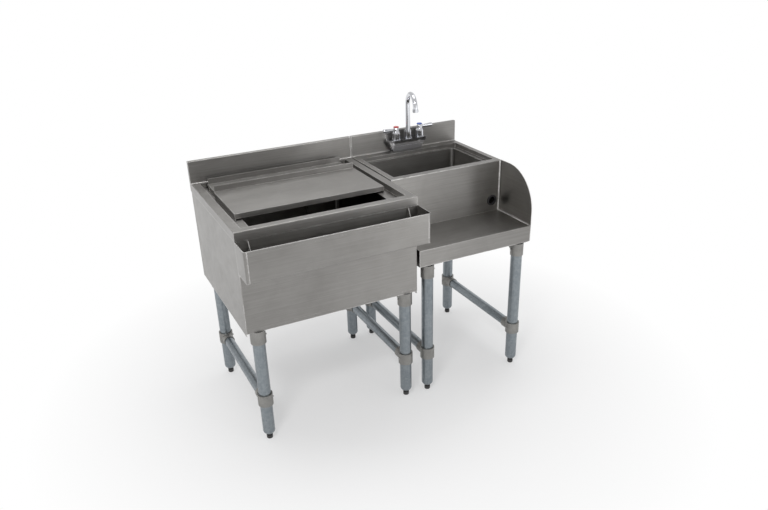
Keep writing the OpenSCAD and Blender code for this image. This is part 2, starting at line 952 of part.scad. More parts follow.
module sink_foot(x, y) {
    color(black) place(sink_x)
        bullet_foot(x, y);
}

// Clamp round a leg with a branch cup for the cross rail; sy points along the rail
module rail_clamp(x, y, sy, sx) {
    translate([x, -y, cross_z])
        difference() {
            union() {
                cylinder(h = clamp_h, r = socket_r, center = true);
                rotate([-90 * sy, 0, 0])
                    cylinder(h = clamp_reach, r = clamp_h / 2 - 0.5);
            }
            cylinder(h = clamp_h + 2 * cut, r = socket_bore, center = true);
            rotate([-90 * sy, 0, 0])
                translate([0, 0, socket_r + 2])
                    cylinder(h = clamp_reach, r = cross_r + fit_gap);
            rotate([0, 90 * sx, 0])
                cylinder(h = socket_r + cut, r = screw_r + fit_gap);
        }
}

module rail_clamps() {
    color(cast_grey) {
        place()
            for (x = bin_leg_xs)
                for (i = [0, 1])
                    rail_clamp(x, bin_leg_ys[i], 1 - 2 * i, x < bin_w / 2 ? 1 : -1);
        place(sink_x)
            for (x = sink_leg_xs)
                for (i = [0, 1])
                    rail_clamp(x, sink_leg_ys[i], 1 - 2 * i, x < sink_w / 2 ? 1 : -1);
    }
}

module cross_rail(x, ys) {
    inset = socket_r + 2 + seat_gap;
    translate([x, -ys[0] + inset, cross_z])
        rotate([-90, 0, 0])
            difference() {
                cylinder(h = ys[0] - ys[1] - 2 * inset, r = cross_r);
                translate([0, 0, -cut])
                    cylinder(h = ys[0], r = cross_r - tube_t);
            }
}

module cross_rails() {
    color(galvanised) {
        place()
            for (x = bin_leg_xs)
                cross_rail(x, bin_leg_ys);
        place(sink_x)
            for (x = sink_leg_xs)
                cross_rail(x, sink_leg_ys);
    }
}

// Set screw from a leg's surface out through a socket or clamp; sx points away from the leg
module set_screw(x, y, z, sx) {
    translate([x, -y, z])
        rotate([0, 90 * sx, 0])
            translate([0, 0, leg_r])
                cylinder(h = socket_r - leg_r + 3, r = screw_r);
}

module unit_screws(xs, ys, z, w) {
    for (x = xs)
        for (y = ys) {
            sx = x < w / 2 ? 1 : -1;
            set_screw(x, y, z, sx);
            set_screw(x, y, cross_z, sx);
        }
}

module set_screws() {
    half_socket = gusset_t + socket_l / 2;
    color(dark_steel) {
        place()
            unit_screws(bin_leg_xs, bin_leg_ys, bin_gusset_z - half_socket, bin_w);
        place(sink_x)
            unit_screws(sink_leg_xs, sink_leg_ys, sink_gusset_z - half_socket, sink_w);
    }
}

// ---- Sink ----

module sink_top() {
    color(steel) place(sink_x)
        difference() {
            unit_deck(sink_w, sink_d, sink_recess, sink_drop, sink_mouth, bowl_r);
            translate([-cut, -sink_d - cut, apron_z - cut])
                cube([sink_w + 2 * cut, sheet + cut, riser_top_z - apron_z + cut]);
        }
}

module sink_backsplash() {
    color(steel) place(sink_x)
        difference() {
            unit_splash(sink_w);
            for (side = [-1, 1])
                translate([faucet_x + side * valve_spread / 2, -cut, shank_pos_z])
                    rotate([-90, 0, 0])
                        cylinder(h = sheet + 2 * cut, r = shank_r + 4 * fit_gap);
        }
}

// Upright face between the front rim's fold and the shelf
module sink_riser() {
    color(steel) place(sink_x)
        difference() {
            translate([0, -sink_d, shelf_z])
                cube([sink_w, sheet, riser_top_z - shelf_z]);
            translate([cord_pos_x, -sink_d - cut, cord_pos_z])
                rotate([-90, 0, 0])
                    cylinder(h = sheet + 2 * cut, r = grommet_neck_r + fit_gap);
        }
}

module sink_bowl() {
    color(steel) place(sink_x)
        difference() {
            tub(sink_mouth, bowl_floor_z, sink_ledge_under_z, bowl_r);
            translate([sink_drain_x, -sink_drain_y, bowl_floor_z - sheet - cut])
                cylinder(h = sheet + 2 * cut, r = strainer_r + fit_gap);
        }
}

module sink_shelf() {
    b = [0, sink_w - sheet, sink_d, shelf_front_y];
    color(steel) place(sink_x) {
        capped_shell(b, skirt_z, shelf_z, true, false);
        translate([2 * sheet, -sink_d - cut, shelf_z - sheet])
            cube([sink_w - 4 * sheet, hem_w + cut, sheet]);
        translate([2 * sheet, -shelf_front_y + sheet / 2, skirt_z])
            cube([sink_w - 4 * sheet, hem_w - sheet / 2, sheet]);
    }
}

module sink_end_splash() {
    h = deck_z - shelf_z;
    color(steel) place(sink_x) {
        along_x(sink_w - sheet, sink_w)
            difference() {
                translate([-shelf_front_y, skirt_z])
                    square([shelf_d, h + skirt_h]);
                translate([-shelf_front_y + end_splash_r, deck_z - end_splash_r])
                    difference() {
                        translate([-end_splash_r - cut, 0])
                            square([end_splash_r + cut, end_splash_r + cut]);
                        circle(end_splash_r);
                    }
            }
        along_y(-shelf_front_y + fold_r, -sink_d)
            translate([sink_w - sheet, shelf_z])
                weld_cove();
        translate([sink_w - sheet, -sink_d, shelf_z])
            linear_extrude(h - fold_r)
                mirror([0, 1])
                    weld_cove();
    }
}

// Concave weld between two walls, its corner at the origin, running to -x and +y
module weld_cove() {
    difference() {
        translate([-cove_r, 0])
            square([cove_r + sheet / 2, cove_r]);
        translate([-cove_r, cove_r])
            circle(cove_r);
    }
}

// Side panel of the sink unit in the YZ plane, with its bottom flange towards side sx
module sink_side(x, sx) {
    top_y = -sink_d + sheet;
    front_y = -shelf_front_y + sheet;
    low_top_z = shelf_z - fold_r - 0.5;
    along_x(x, x + sheet)
        polygon([
            [splash_box, skirt_z], [splash_box, panel_top_z], [top_y, panel_top_z],
            [top_y, low_top_z], [front_y, low_top_z], [front_y, skirt_z]
        ]);
    translate([sx > 0 ? x : x + sheet - side_flange_w, front_y + hem_w, skirt_z])
        cube([side_flange_w, splash_box - front_y - hem_w, sheet]);
}

module sink_side_left() {
    color(steel) place(sink_x)
        difference() {
            sink_side(sheet, 1);
            translate([-sink_x, 0, 0])
                union_holes();
        }
}

module sink_side_right() {
    color(steel) place(sink_x)
        sink_side(sink_w - 2 * sheet, -1);
}

module cord_grommet() {
    color(black) place(sink_x)
        translate([cord_pos_x, -sink_d, cord_pos_z])
            rotate([90, 0, 0])
                rotate_extrude()
                    difference() {
                        union() {
                            translate([cord_r, 0])
                                square([grommet_r - cord_r - 1.5, 3]);
                            translate([cord_r, 0])
                                square([grommet_r - cord_r, 1.5]);
                            translate([grommet_r - 1.5, 1.5])
                                circle(1.5);
                            translate([cord_r, -sheet - 1])
                                square([grommet_neck_r - cord_r, sheet + 2]);
                            translate([cord_r, -sheet - 4])
                                square([grommet_neck_r - cord_r + 2, 4]);
                        }
                        translate([cord_r, -sheet])
                            translate([grommet_neck_r - cord_r, 0])
                                square([grommet_r, sheet]);
                    }
}

// ---- Sink drain ----

module at_sink_drain() {
    place(sink_x)
        translate([sink_drain_x, -sink_drain_y, 0])
            children();
}

module basket_strainer_body() {
    color(chrome) at_sink_drain()
        rotate_extrude()
            difference() {
                union() {
                    translate([0, bowl_floor_z])
                        square([strainer_r + 12, strainer_t]);
                    translate([0, strainer_floor_z - strainer_t])
                        square([strainer_r, strainer_depth + 2 * strainer_t]);
                    translate([0, tail_top_z])
                        square([tail_r + 3, spigot_l]);
                }
                translate([-cut, strainer_floor_z])
                    square([strainer_r - strainer_t + cut, strainer_depth + 2 * strainer_t]);
                translate([-cut, tail_top_z - cut])
                    square([tail_r - 1 + cut, spigot_l + 2 * cut]);
            }
}

module basket_strainer_nuts() {
    color(dark_steel) at_sink_drain() {
        translate([0, 0, bowl_floor_z - sheet - 10])
            difference() {
                cylinder(h = 10, r = strainer_r + 9);
                translate([0, 0, -cut])
                    cylinder(h = 10 + 2 * cut, r = strainer_r + fit_gap);
            }
        translate([0, 0, tail_top_z - 10])
            difference() {
                cylinder(h = 22, r = tail_r + 9, $fn = 8);
                translate([0, 0, 4])
                    cylinder(h = 22, r = tail_r + 3 + fit_gap);
                translate([0, 0, -cut])
                    cylinder(h = 22, r = tail_r + fit_gap);
            }
    }
}

module strainer_basket() {
    r = strainer_r - strainer_t - 1;
    z0 = strainer_floor_z + seat_gap;
    h = strainer_depth - 6;
    color(chrome) at_sink_drain()
        difference() {
            translate([0, 0, z0]) {
                difference() {
                    cylinder(h = h, r = r);
                    translate([0, 0, 1.2])
                        cylinder(h = h, r = r - 1.2);
                }
                cylinder(h = h, r = 2.5);
                translate([0, 0, h - 8])
                    cylinder(h = 8, r = 7);
            }
            for (i = [0:7])
                rotate([0, 0, 45 * i])
                    translate([r * 0.62, 0, z0 - cut])
                        cylinder(h = 4, r = 4);
        }
}

module sink_tailpiece() {
    end_z = tail_top_z - 14 - tail_l;
    color(chrome) at_sink_drain()
        rotate_extrude()
            difference() {
                union() {
                    translate([0, end_z])
                        square([tail_r, tail_l + 14]);
                    translate([0, tail_top_z - 2])
                        square([tail_r + 2.8, 2]);
                    translate([0, tail_top_z - 14])
                        square([tail_r + 0.8, 3]);
                }
                translate([-cut, end_z - cut])
                    square([tail_r - 1.5 + cut, tail_l + 20]);
            }
}

// ---- Faucet ----

module at_faucet() {
    place(sink_x)
        translate([faucet_x, -valve_y, 0])
            children();
}

module faucet_body() {
    front = valve_y - body_d;
    corner = 14;
    color(chrome) at_faucet() {
        hull() {
            translate([0, 0, body_top_z - body_band])
                linear_extrude(body_band)
                    polygon([
                        [-body_half_w, valve_y], [-body_half_w, front + corner],
                        [corner - body_half_w, front], [body_half_w - corner, front],
                        [body_half_w, front + corner], [body_half_w, valve_y]
                    ]);
            translate([-body_low_half_w, valve_y - body_low_d, deck_z + fit_gap + seat_gap])
                cube([2 * body_low_half_w, body_low_d - splash_cove_r, 2]);
        }
        for (side = [-1, 1])
            translate([side * valve_spread / 2, valve_y - 2, shank_pos_z])
                rotate([-90, 0, 0])
                    shank();
    }
}

// Threaded inlet with a relief groove that ends the locknut's thread
module shank() {
    difference() {
        cylinder(h = shank_l + 2, r = shank_r);
        translate([0, 0, 15])
            difference() {
                cylinder(h = 2, r = shank_r + cut);
                cylinder(h = 2, r = shank_r - 1);
            }
        translate([0, 0, 4])
            cylinder(h = shank_l, r = shank_r - 3);
    }
}

module faucet_wall_nuts() {
    color(dark_steel) at_faucet()
        for (side = [-1, 1])
            translate([side * valve_spread / 2, valve_y + sheet, shank_pos_z])
                rotate([-90, 0, 0])
                    difference() {
                        union() {
                            cylinder(h = 1.6, r = shank_r + 7);
                            translate([0, 0, 1.6])
                                cylinder(h = 8, r = shank_r + 6, $fn = 6);
                        }
                        translate([0, 0, -cut])
                            cylinder(h = 14, r = shank_r + fit_gap);
                    }
}

module faucet_bonnets() {
    color(chrome) at_faucet()
        for (side = [-1, 1])
            translate([side * valve_spread / 2, 0, body_top_z])
                rotate_extrude() {
                    square([bonnet_r + 1.5, 3]);
                    square([bonnet_r - 1, bonnet_h]);
                    translate([0, 3])
                        square([bonnet_r, bonnet_h - 6]);
                    translate([0, bonnet_h - 3])
                        square([bonnet_r - 0.5, 3]);
                }
}

// Lever handle at its valve: bell-shaped hub and a flared lever that points to side sx
module lever_handle(sx) {
    neck_r = 0.7 * bonnet_r;
    at_faucet() translate([sx * valve_spread / 2, 0, 0]) {
        translate([0, 0, hub_z])
            rotate_extrude() {
                square([bonnet_r, 9]);
                polygon([
                    [0, 8.9], [bonnet_r, 8.9], [bonnet_r - 2, 12], [neck_r, 18], [neck_r, hub_h - 4],
                    [neck_r - 1.5, hub_h - 1], [neck_r - 1.5, hub_h], [0, hub_h]
                ]);
            }
        translate([0, 0, lever_z])
            rotate([0, 90 * sx, 0])
                rotate_extrude()
                    difference() {
                        polygon([
                            [0, 3], [0.55 * lever_r, 3], [0.62 * lever_r, 14],
                            [0.8 * lever_r, lever_l / 2], [lever_r, lever_l - lever_end],
                            [lever_r, lever_l], [0, lever_l]
                        ]);
                        translate([lever_r - lever_end, lever_l - lever_end])
                            difference() {
                                square([lever_end + cut, lever_end + cut]);
                                circle(lever_end);
                            }
                    }
    }
}

module hot_handle() {
    color(chrome)
        lever_handle(-1);
}

module cold_handle() {
    color(chrome)
        lever_handle(1);
}

module index_button(sx) {
    r = 0.7 * bonnet_r;
    at_faucet()
        translate([sx * valve_spread / 2, 0, hub_top_z])
            rotate_extrude()
                union() {
                    square([r, index_t - 1]);
                    square([r - 1, index_t]);
                }
}

module hot_index() {
    color(hot_red)
        index_button(-1);
}

module cold_index() {
    color(cold_blue)
        index_button(1);
}

module spout_nut() {
    bore = spout_r + seat_gap;
    color(chrome) at_faucet()
        translate([0, 0, body_top_z])
            rotate_extrude()
                difference() {
                    union() {
                        square([spout_r + 6, 5]);
                        square([spout_r + 4, spout_nut_h - 4]);
                        square([spout_r + 2.5, spout_nut_h]);
                    }
                    translate([-cut, 2])
                        square([bore + cut, spout_nut_h]);
                }
}

module spout() {
    base_z = body_top_z + 2 + seat_gap;
    color(chrome) at_faucet()
        rotate([0, 0, -90 - spout_swing]) {
            translate([0, 0, base_z])
                cylinder(h = arch_z - base_z, r = spout_r);
            translate([arch_r, 0, arch_z])
                rotate([90, 0, 0])
                    rotate_extrude(angle = 180)
                        translate([arch_r, 0])
                            circle(spout_r);
            translate([spout_reach, 0, spout_tip_z])
                cylinder(h = spout_drop, r = spout_r);
        }
}

module aerator() {
    color(chrome) at_faucet()
        rotate([0, 0, -90 - spout_swing])
            translate([spout_reach, 0, spout_tip_z - aerator_h])
                rotate_extrude()
                    difference() {
                        union() {
                            translate([0, 1])
                                square([aerator_r, aerator_h - 3]);
                            square([aerator_r - 1, aerator_h]);
                        }
                        translate([-cut, -cut])
                            square([aerator_r - 3 + cut, 6]);
                    }
}

// ---- Between the units ----

module union_holes() {
    for (y = union_ys)
        translate([bin_w - 3 * sheet, -y, union_z])
            rotate([0, 90, 0])
                cylinder(h = unit_gap + 7 * sheet, r = union_r + fit_gap);
}

// Bolts with spacers between the two units
module union_bolts() {
    spacer = unit_gap + 2 * sheet;
    for (y = union_ys)
        translate([bin_w - sheet, -y, union_z])
            rotate([0, 90, 0]) {
                cylinder(h = spacer, r = 10);
                translate([0, 0, -sheet - 12])
                    cylinder(h = spacer + 2 * sheet + 14, r = union_r);
                translate([0, 0, spacer + sheet])
                    cylinder(h = 5, r = 8, $fn = 6);
                translate([0, 0, -sheet - 7])
                    cylinder(h = 7, r = 8, $fn = 6);
            }
}

module hex_bolts() {
    color(dark_steel) place() {
        rail_bolts();
        union_bolts();
    }
}

// ---- Nodes ----

bin_cabinet();
bin_insulation();
bin_liner();
bin_top();
bin_backsplash();
bin_cover_front();
bin_cover_rear();
bin_divider();
bin_divider_channels();
bin_drain_body();
bin_drain_nut();
bin_drain_strainer();
bottle_rail();
bottle_rail_floor();
bottle_rail_ends();
hex_bolts();
bin_leg(bin_leg_xs[0], bin_leg_ys[0]);  // bin_leg_front_left
bin_leg(bin_leg_xs[1], bin_leg_ys[0]);  // bin_leg_front_right
bin_leg(bin_leg_xs[0], bin_leg_ys[1]);  // bin_leg_rear_left
bin_leg(bin_leg_xs[1], bin_leg_ys[1]);  // bin_leg_rear_right
bin_foot(bin_leg_xs[0], bin_leg_ys[0]);  // bin_foot_front_left
bin_foot(bin_leg_xs[1], bin_leg_ys[0]);  // bin_foot_front_right
bin_foot(bin_leg_xs[0], bin_leg_ys[1]);  // bin_foot_rear_left
bin_foot(bin_leg_xs[1], bin_leg_ys[1]);  // bin_foot_rear_right
sink_top();
sink_backsplash();
sink_riser();
sink_bowl();
sink_shelf();
sink_end_splash();
sink_side_left();
sink_side_right();
cord_grommet();
basket_strainer_body();
basket_strainer_nuts();
strainer_basket();
sink_tailpiece();
sink_leg(sink_leg_xs[0], sink_leg_ys[0]);  // sink_leg_front_left
sink_leg(sink_leg_xs[1], sink_leg_ys[0]);  // sink_leg_front_right
sink_leg(sink_leg_xs[0], sink_leg_ys[1]);  // sink_leg_rear_left
sink_leg(sink_leg_xs[1], sink_leg_ys[1]);  // sink_leg_rear_right
sink_foot(sink_leg_xs[0], sink_leg_ys[0]);  // sink_foot_front_left
sink_foot(sink_leg_xs[1], sink_leg_ys[0]);  // sink_foot_front_right
sink_foot(sink_leg_xs[0], sink_leg_ys[1]);  // sink_foot_rear_left
sink_foot(sink_leg_xs[1], sink_leg_ys[1]);  // sink_foot_rear_right
leg_channels();
leg_sockets();
cross_rails();
rail_clamps();
set_screws();
faucet_body();
faucet_wall_nuts();
faucet_bonnets();
hot_handle();
cold_handle();
hot_index();
cold_index();
spout_nut();
spout();
aerator();
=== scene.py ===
"""Looks of the underbar station: materials, camera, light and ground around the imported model."""
import json
import math

import bpy
from mathutils import Matrix, Vector

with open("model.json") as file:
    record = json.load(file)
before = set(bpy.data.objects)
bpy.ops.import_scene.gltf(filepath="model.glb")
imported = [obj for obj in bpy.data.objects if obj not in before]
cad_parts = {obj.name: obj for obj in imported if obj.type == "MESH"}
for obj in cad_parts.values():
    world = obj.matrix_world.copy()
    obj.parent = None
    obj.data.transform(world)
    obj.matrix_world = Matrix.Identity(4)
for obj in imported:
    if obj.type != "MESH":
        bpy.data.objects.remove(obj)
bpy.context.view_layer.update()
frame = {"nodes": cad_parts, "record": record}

# ---- Colours, linear ----
STEEL = (0.235, 0.228, 0.218)
STEEL_LIGHT = (0.335, 0.327, 0.316)
STEEL_DARK = (0.2, 0.195, 0.188)
# Near-white edge colour: rubbed steel, and also a painted highlight along edges and folds
STEEL_WORN_AND_HIGHLIGHT = (0.88, 0.87, 0.86)
ZINC = (0.21, 0.235, 0.255)
ZINC_LIGHT = (0.3, 0.33, 0.35)
CAST = (0.24, 0.235, 0.225)
CAST_LIGHT = (0.33, 0.325, 0.31)
CHROME = (0.64, 0.65, 0.68)
CHROME_LIGHT = tuple(1.08 * level for level in CHROME)
FOAM = (0.75, 0.66, 0.42)
BLACK = (0.012, 0.012, 0.013)
GREY_BLACK = (0.035, 0.034, 0.034)
RED = (0.42, 0.02, 0.02)
BLUE = (0.015, 0.07, 0.36)

# ---- Brushed grain: its scale along the brush, and how square a face is to count as facing an axis ----
GRAIN_STRETCH = 0.012
FACING = 0.7

# ---- Camera, in metres and degrees ----
CAMERA_AT = (-1.0078, -2.1704, 1.5474)
CAMERA_AZIMUTH = -25.91
CAMERA_ELEVATION = 26.80
CAMERA_ROLL = -1.79
CAMERA_LENS = 33.91
CAMERA_SHIFT = (0.0038, 0.0467)

# ---- Studio, linear: pale all round, brightest behind the part and to its right ----
BRIGHT_SIDE = (0.75, 0.6, 0.28)
FLOOR_WHITE = (0.86, 0.855, 0.85)
ROOM_WHITE = (1.0, 1.0, 1.0)
ROOM_DIM = (0.72, 0.715, 0.71)
ROOM_BRIGHT_FROM = 0.75
SOFT_LIGHT = (0.97, 0.98, 1.0)
SOFT_STRENGTH = 0.55
FLOOR_SIZE = 80.0
GLOW_NEAR = 0.45
GLOW_FAR = 1.25
GLOW_LEAST = 0.4

# Name, place, target, size and power of each lamp
LAMPS = (
    ("key", (-1.7, -2.0, 3.0), (0.0, 0.0, 0.6), (0.7, 0.5), 34.0),
    ("side", (1.35, -2.9, 1.0), (0.1, 0.0, 0.5), (0.7, 1.7), 6.0),
    ("top", (0.1, 0.3, 3.1), (0.0, 0.0, 0.5), (2.0, 1.2), 20.0),
)


# ---- Node helpers ----

def new_material(name):
    """An empty material with its Principled shader wired to the output."""
    mat = bpy.data.materials.new(name)
    mat.use_nodes = True
    tree = mat.node_tree
    tree.nodes.clear()
    out = tree.nodes.new("ShaderNodeOutputMaterial")
    shader = tree.nodes.new("ShaderNodeBsdfPrincipled")
    tree.links.new(shader.outputs["BSDF"], out.inputs["Surface"])
    return mat, tree, shader


def link(tree, source, socket):
    tree.links.new(source, socket)


def math_node(tree, operation, a, b=None, clamp=False):
    node = tree.nodes.new("ShaderNodeMath")
    node.operation = operation
    node.use_clamp = clamp
    for socket, value in zip(node.inputs, (a, b)):
        if value is None:
            continue
        if isinstance(value, (int, float)):
            socket.default_value = value
        else:
            link(tree, value, socket)
    return node.outputs[0]


def object_coords(tree):
    return tree.nodes.new("ShaderNodeTexCoord").outputs["Object"]


def scaled(tree, vector, scale):
    node = tree.nodes.new("ShaderNodeMapping")
    node.inputs["Scale"].default_value = scale
    link(tree, vector, node.inputs["Vector"])
    return node.outputs[0]


def noise(tree, vector, scale, detail=3.0, roughness=0.55, distortion=0.0):
    node = tree.nodes.new("ShaderNodeTexNoise")
    node.inputs["Scale"].default_value = scale
    node.inputs["Detail"].default_value = detail
    node.inputs["Roughness"].default_value = roughness
    node.inputs["Distortion"].default_value = distortion
    link(tree, vector, node.inputs["Vector"])
    return node.outputs["Fac"]


def voronoi(tree, vector, scale):
    node = tree.nodes.new("ShaderNodeTexVoronoi")
    node.inputs["Scale"].default_value = scale
    link(tree, vector, node.inputs["Vector"])
    return node


def spread(tree, value, low, high, to_low=0.0, to_high=1.0):
    """Maps low..high of a value onto to_low..to_high."""
    node = tree.nodes.new("ShaderNodeMapRange")
    node.inputs["From Min"].default_value = low
    node.inputs["From Max"].default_value = high
    node.inputs["To Min"].default_value = to_low
    node.inputs["To Max"].default_value = to_high
    link(tree, value, node.inputs["Value"])
    return node.outputs[0]


def mix_colour(tree, factor, a, b):
    node = tree.nodes.new("ShaderNodeMix")
    node.data_type = "RGBA"
    link(tree, factor, node.inputs["Factor"])
    for socket, value in ((node.inputs[6], a), (node.inputs[7], b)):
        if isinstance(value, tuple):
            socket.default_value = (*value, 1.0)
        else:
            link(tree, value, socket)
    return node.outputs[2]


def edge_wear_and_highlight(tree, breakup, radius=0.003):
    """1 along the part's edges and folds, broken up by a noise, 0 on its flats; used both for rubbed
    edge wear and as a painted highlight along the folds.
    """
    soft = tree.nodes.new("ShaderNodeBevel")
    soft.samples = 4
    soft.inputs["Radius"].default_value = radius
    geometry = tree.nodes.new("ShaderNodeNewGeometry")
    dot = tree.nodes.new("ShaderNodeVectorMath")
    dot.operation = "DOT_PRODUCT"
    link(tree, soft.outputs["Normal"], dot.inputs[0])
    link(tree, geometry.outputs["Normal"], dot.inputs[1])
    worn_highlight_edge = spread(tree, dot.outputs["Value"], 0.995, 0.93)
    return math_node(tree, "MULTIPLY", worn_highlight_edge, spread(tree, breakup, 0.3, 0.6), clamp=True)


def bump(tree, shader, height, strength, distance):
    node = tree.nodes.new("ShaderNodeBump")
    node.inputs["Strength"].default_value = strength
    node.inputs["Distance"].default_value = distance
    link(tree, height, node.inputs["Height"])
    link(tree, node.outputs["Normal"], shader.inputs["Normal"])


# ---- Materials ----

def grain_coords(tree):
    """Object coordinates stretched along the grain, and the direction across it."""
    geometry = tree.nodes.new("ShaderNodeNewGeometry")
    split_n = tree.nodes.new("ShaderNodeSeparateXYZ")
    link(tree, geometry.outputs["Normal"], split_n.inputs[0])
    side = math_node(tree, "GREATER_THAN", math_node(tree, "ABSOLUTE", split_n.outputs["X"]), FACING)
    split_p = tree.nodes.new("ShaderNodeSeparateXYZ")
    link(tree, object_coords(tree), split_p.inputs[0])
    join = tree.nodes.new("ShaderNodeCombineXYZ")
    link(tree, math_node(tree, "MULTIPLY", split_p.outputs["X"], GRAIN_STRETCH), join.inputs[0])
    along = spread(tree, side, 0.0, 1.0, 1.0, GRAIN_STRETCH)
    link(tree, math_node(tree, "MULTIPLY", split_p.outputs["Y"], along), join.inputs[1])
    link(tree, split_p.outputs["Z"], join.inputs[2])
    level = math_node(tree, "GREATER_THAN", math_node(tree, "ABSOLUTE", split_n.outputs["Z"]), FACING)
    across = tree.nodes.new("ShaderNodeCombineXYZ")
    link(tree, level, across.inputs[1])
    link(tree, math_node(tree, "SUBTRACT", 1.0, level), across.inputs[2])
    return join.outputs[0], across.outputs[0]


def brushed_steel(name, low, high, rough, anisotropy=0.9):
    """Stainless sheet with a directional polish, faint handling marks and a soft cloudiness."""
    mat, tree, shader = new_material(name)
    grain, across = grain_coords(tree)
    fine = noise(tree, grain, 1500.0, 2.0, 0.6)
    coarse = noise(tree, grain, 260.0, 3.0, 0.6)
    cloud = noise(tree, object_coords(tree), 4.0, 4.0, 0.6, 0.6)
    smudge = noise(tree, object_coords(tree), 17.0, 5.0, 0.65, 1.2)
    wave = noise(tree, object_coords(tree), 5.0, 1.0, 0.4)
    streak = math_node(tree, "ADD", math_node(tree, "MULTIPLY", fine, 0.45),
                       math_node(tree, "MULTIPLY", coarse, 0.55))
    tone = math_node(tree, "ADD", math_node(tree, "MULTIPLY", streak, 0.6),
                     math_node(tree, "MULTIPLY", cloud, 0.4))
    worn_highlight_edge = edge_wear_and_highlight(tree, smudge)
    sheet = mix_colour(tree, spread(tree, tone, 0.34, 0.66), low, high)
    # Edges and folds are painted near white: partly rubbed wear, partly a painted highlight standing in
    # for the folds catching the light
    link(tree, mix_colour(tree, worn_highlight_edge, sheet, STEEL_WORN_AND_HIGHLIGHT), shader.inputs["Base Color"])
    wear = math_node(tree, "ADD", math_node(tree, "MULTIPLY", streak, 0.5),
                     math_node(tree, "MULTIPLY", smudge, 0.5))
    matt = spread(tree, wear, 0.3, 0.7, rough - 0.1, rough + 0.07)
    link(tree, math_node(tree, "SUBTRACT", matt, math_node(tree, "MULTIPLY", worn_highlight_edge, 0.08)),
         shader.inputs["Roughness"])
    shader.inputs["Metallic"].default_value = 1.0
    shader.inputs["Anisotropic"].default_value = anisotropy
    link(tree, across, shader.inputs["Tangent"])
    relief = math_node(tree, "ADD", math_node(tree, "MULTIPLY", streak, 0.02), wave)
    bump(tree, shader, relief, 1.0, 0.0012)
    return mat


def zinc_tube(name):
    """Galvanised tube: small crystals, drawn lines along the tube and dull patches."""
    mat, tree, shader = new_material(name)
    where = object_coords(tree)
    crystal = voronoi(tree, where, 130.0)
    split = tree.nodes.new("ShaderNodeSeparateXYZ")
    link(tree, crystal.outputs["Color"], split.inputs[0])
    drawn = noise(tree, scaled(tree, where, (1.0, 1.0, 0.03)), 500.0, 3.0, 0.6)
    patch = noise(tree, where, 9.0, 4.0, 0.6, 0.5)
    tone = math_node(tree, "ADD", math_node(tree, "MULTIPLY", split.outputs[0], 0.2),
                     math_node(tree, "ADD", math_node(tree, "MULTIPLY", drawn, 0.4),
                               math_node(tree, "MULTIPLY", patch, 0.4)))
    link(tree, mix_colour(tree, spread(tree, tone, 0.3, 0.7), ZINC, ZINC_LIGHT),
         shader.inputs["Base Color"])
    link(tree, spread(tree, tone, 0.3, 0.7, 0.42, 0.28), shader.inputs["Roughness"])
    shader.inputs["Metallic"].default_value = 1.0
    bump(tree, shader, drawn, 0.05, 0.0004)
    return mat


def cast_metal(name, low, high, metallic=0.8, rough=0.48):
    """Die-cast fitting with a fine pebbled skin."""
    mat, tree, shader = new_material(name)
    where = object_coords(tree)
    pebble = noise(tree, where, 700.0, 3.0, 0.6)
    patch = noise(tree, where, 30.0, 3.0, 0.6)
    tone = math_node(tree, "ADD", math_node(tree, "MULTIPLY", pebble, 0.5),
                     math_node(tree, "MULTIPLY", patch, 0.5))
    link(tree, mix_colour(tree, spread(tree, tone, 0.35, 0.65), low, high),
         shader.inputs["Base Color"])
    link(tree, spread(tree, tone, 0.35, 0.65, rough + 0.08, rough - 0.06),
         shader.inputs["Roughness"])
    shader.inputs["Metallic"].default_value = metallic
    bump(tree, shader, pebble, 0.15, 0.0003)
    return mat


def chrome_plate(name):
    """Polished chrome with a trace of orange peel and dried water."""
    mat, tree, shader = new_material(name)
    where = object_coords(tree)
    film = noise(tree, where, 60.0, 5.0, 0.65, 0.8)
    link(tree, mix_colour(tree, spread(tree, film, 0.3, 0.7), CHROME, CHROME_LIGHT),
         shader.inputs["Base Color"])
    link(tree, spread(tree, film, 0.35, 0.75, 0.05, 0.13), shader.inputs["Roughness"])
    shader.inputs["Metallic"].default_value = 1.0
    bump(tree, shader, noise(tree, where, 220.0, 2.0), 0.02, 0.0003)
    return mat


def plastic(name, colour, rough, grain=900.0, depth=0.1):
    """Moulded plastic or rubber with a fine grain and slight shade changes."""
    mat, tree, shader = new_material(name)
    where = object_coords(tree)
    tex = noise(tree, where, grain, 3.0, 0.6)
    patch = noise(tree, where, 40.0, 3.0, 0.6)
    lighter = tuple(min(1.0, 1.35 * c + 0.004) for c in colour)
    link(tree, mix_colour(tree, spread(tree, patch, 0.35, 0.65), colour, lighter),
         shader.inputs["Base Color"])
    link(tree, spread(tree, tex, 0.3, 0.7, rough - 0.05, rough + 0.08), shader.inputs["Roughness"])
    bump(tree, shader, tex, depth, 0.0002)
    return mat


materials = {
    "stainless": brushed_steel("stainless_sheet", STEEL, STEEL_LIGHT, 0.36),
    "galvanised": zinc_tube("galvanised_tube"),
    "cast_fittings": cast_metal("cast_fitting", CAST, CAST_LIGHT),
    "hardware": brushed_steel("plain_hardware", STEEL_DARK, STEEL, 0.32, 0.2),
    "drain_steel": brushed_steel("polished_drain", STEEL, STEEL_LIGHT, 0.18, 0.1),
    "chrome": chrome_plate("chrome_plate"),
    "foot_plastic": plastic("foot_plastic", GREY_BLACK, 0.5),
    "foam": plastic("rigid_foam", FOAM, 0.85, 500.0, 0.3),
    "grommet_rubber": plastic("grommet_rubber", BLACK, 0.55),
    "index_red": plastic("index_red", RED, 0.3),
    "index_blue": plastic("index_blue", BLUE, 0.3),
}
slots = {part["node"]: part["material_slot"] for part in frame["record"]["subparts"]}
for node_name, obj in frame["nodes"].items():
    for slot in obj.material_slots:
        slot.material = materials[slots[node_name]]


# ---- Ground, world, lamps ----

